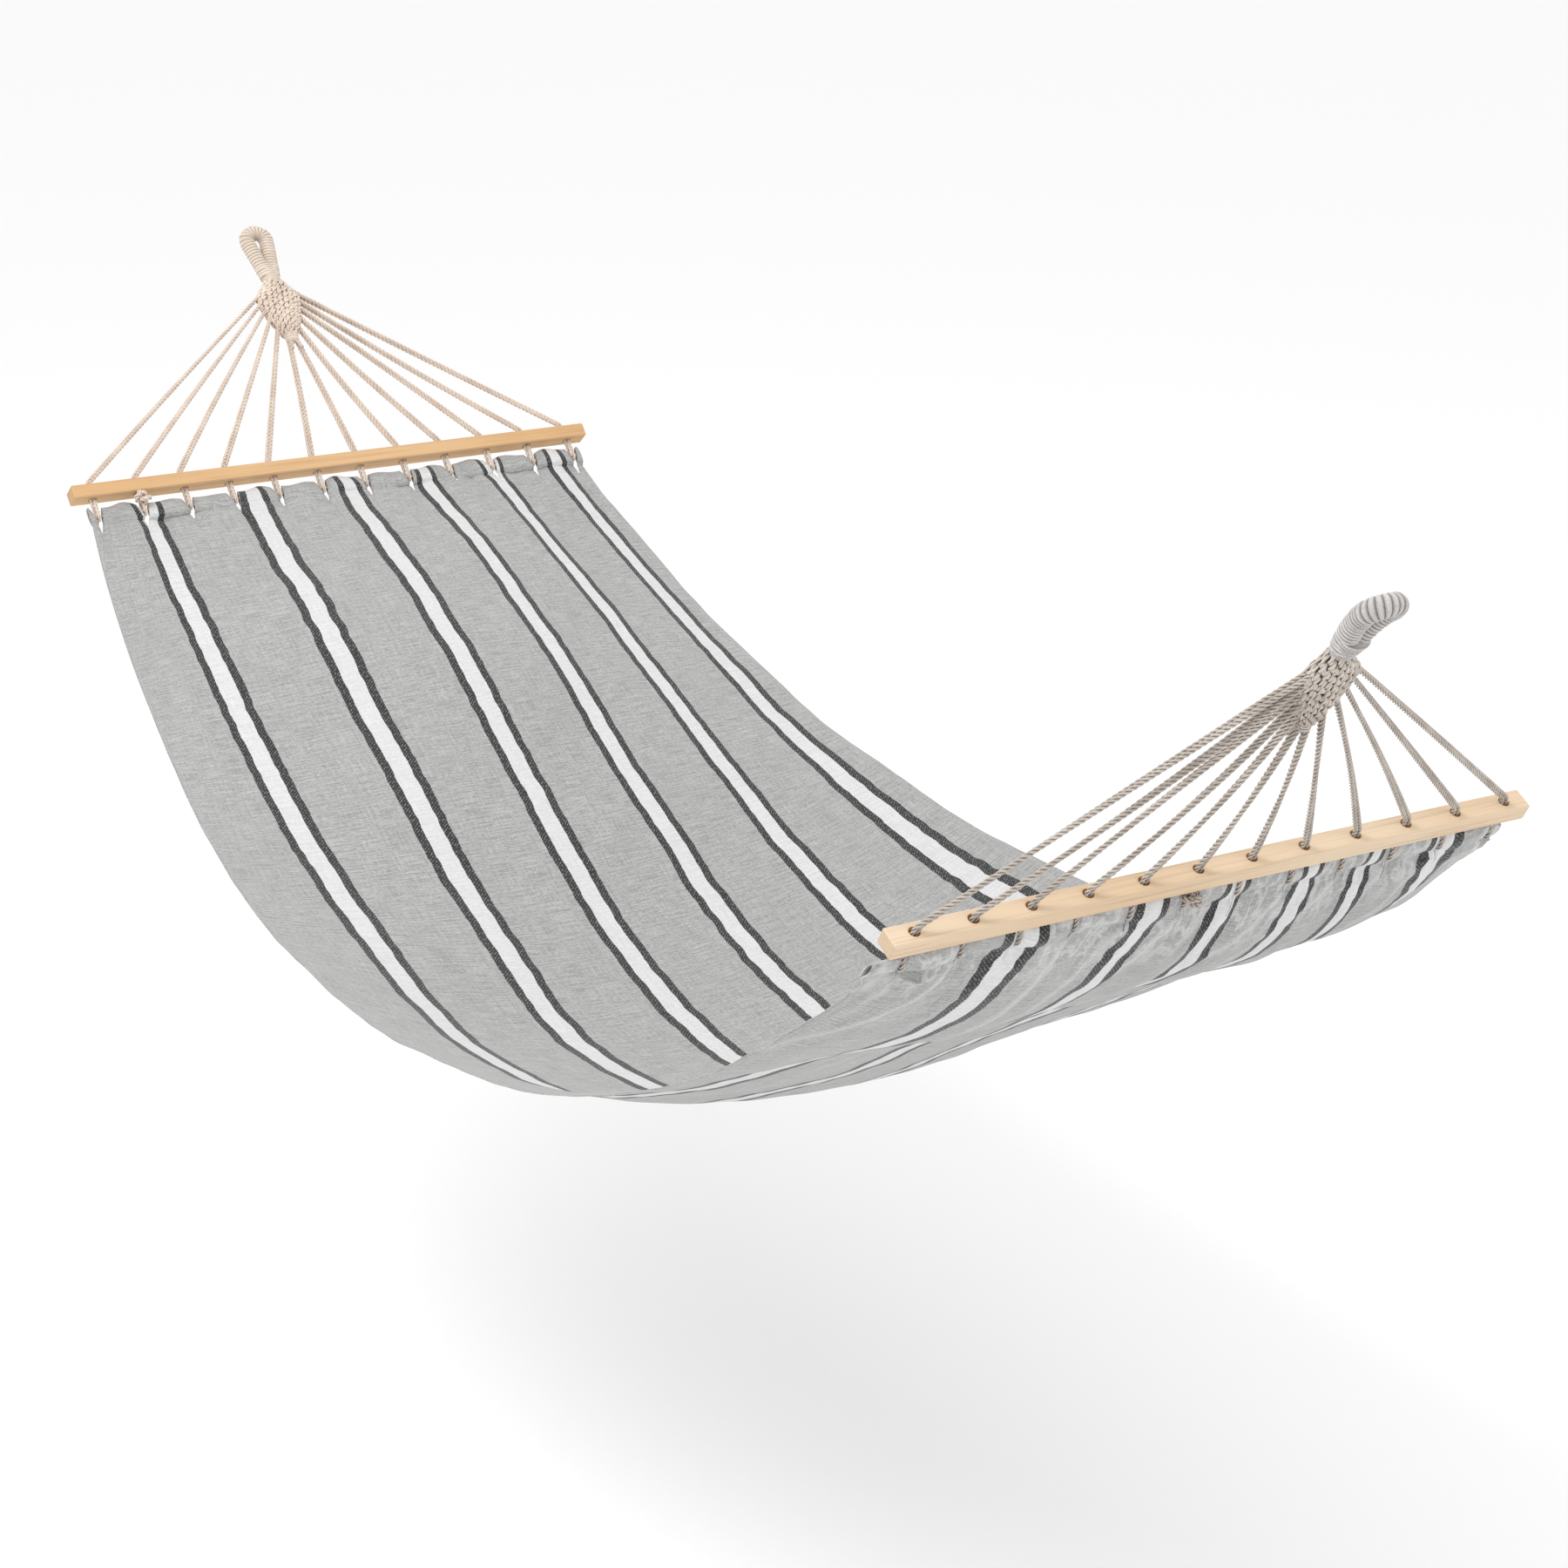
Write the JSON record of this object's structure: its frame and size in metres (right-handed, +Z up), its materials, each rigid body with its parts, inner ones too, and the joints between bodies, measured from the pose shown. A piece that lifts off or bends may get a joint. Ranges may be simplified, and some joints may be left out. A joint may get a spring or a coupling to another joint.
{
  "type": "rope hammock",
  "caption": "Cloth hammock held flat by a wooden spreader bar at each end; a fan of doubled ropes runs from each bar to a woven clew and a whipped rope eye for hanging.",
  "frame": {"origin": "hook point of the head eye: the inside of the eye's crown, where it bears on its hook", "axes": "+X along the hammock from the head eye to the foot eye, +Y across it, +Z up"},
  "size_m": [2.4525, 0.995, 0.8386],
  "materials": {
    "striped_cloth": "woven cotton, grey with off-white bands between charcoal borders",
    "cotton_rope": "twisted natural cotton rope",
    "bar_wood": "planed light wood, thin clear oil"
  },
  "bodies": {
    "eyes": {"head_eye_core": "cotton_rope", "head_eye_whipping": "cotton_rope", "foot_eye_core": "cotton_rope", "foot_eye_whipping": "cotton_rope"},
    "necks": {"head_neck_seizing": "cotton_rope", "foot_neck_seizing": "cotton_rope"},
    "head_fan": {"head_clew": "cotton_rope", "head_knot": "cotton_rope", "head_rope_01": "cotton_rope", "head_rope_02": "cotton_rope", "head_rope_03": "cotton_rope", "head_rope_04": "cotton_rope", "head_rope_05": "cotton_rope", "head_rope_06": "cotton_rope", "head_rope_07": "cotton_rope", "head_rope_08": "cotton_rope", "head_rope_09": "cotton_rope", "head_rope_10": "cotton_rope", "head_rope_11": "cotton_rope", "head_rope_12": "cotton_rope"},
    "head_spreader": {"head_bar": "bar_wood"},
    "bed": {"fabric": "striped_cloth", "head_hem": "striped_cloth", "foot_hem": "striped_cloth", "head_hem_cord": "cotton_rope", "foot_hem_cord": "cotton_rope"},
    "foot_fan": {"foot_clew": "cotton_rope", "foot_knot": "cotton_rope", "foot_rope_01": "cotton_rope", "foot_rope_02": "cotton_rope", "foot_rope_03": "cotton_rope", "foot_rope_04": "cotton_rope", "foot_rope_05": "cotton_rope", "foot_rope_06": "cotton_rope", "foot_rope_07": "cotton_rope", "foot_rope_08": "cotton_rope", "foot_rope_09": "cotton_rope", "foot_rope_10": "cotton_rope", "foot_rope_11": "cotton_rope", "foot_rope_12": "cotton_rope"},
    "foot_spreader": {"foot_bar": "bar_wood"}
  },
  "joints": [
    {"name": "side_swing", "type": "hinge", "parent": "eyes", "child": "necks", "pos_m": [0.04863, 0, -0.05035], "axis": [0.9999, 0, 0.015], "range_deg": [-25, 25]},
    {"name": "end_sway", "type": "hinge", "parent": "necks", "child": "head_fan", "pos_m": [0.04863, 0, -0.05035], "axis": [0, 1, 0], "range_deg": [-5, 5]},
    {"name": "head_hem_turn", "type": "hinge", "parent": "head_fan", "child": "bed", "pos_m": [0.2739, 0, -0.30768], "axis": [0, 1, 0], "range_deg": [-6.5, 6.5]},
    {"name": "foot_hem_turn", "type": "hinge", "parent": "bed", "child": "foot_fan", "pos_m": [2.19419, 0, -0.31177], "axis": [0, 1, 0], "range_deg": [-6.5, 6.5]},
    {"name": "head_bar_rock", "type": "hinge", "parent": "head_fan", "child": "head_spreader", "pos_m": [0.25018, 0, -0.28059], "axis": [0, 1, 0], "range_deg": [-10, 10]},
    {"name": "foot_bar_rock", "type": "hinge", "parent": "foot_fan", "child": "foot_spreader", "pos_m": [2.21218, 0, -0.28059], "axis": [0, 1, 0], "range_deg": [-10, 10]}
  ],
  "couplings": [
    {"joint": "head_hem_turn", "follows": "end_sway", "ratio": -1.1944},
    {"joint": "foot_hem_turn", "follows": "end_sway", "ratio": 1.0606}
  ]
}
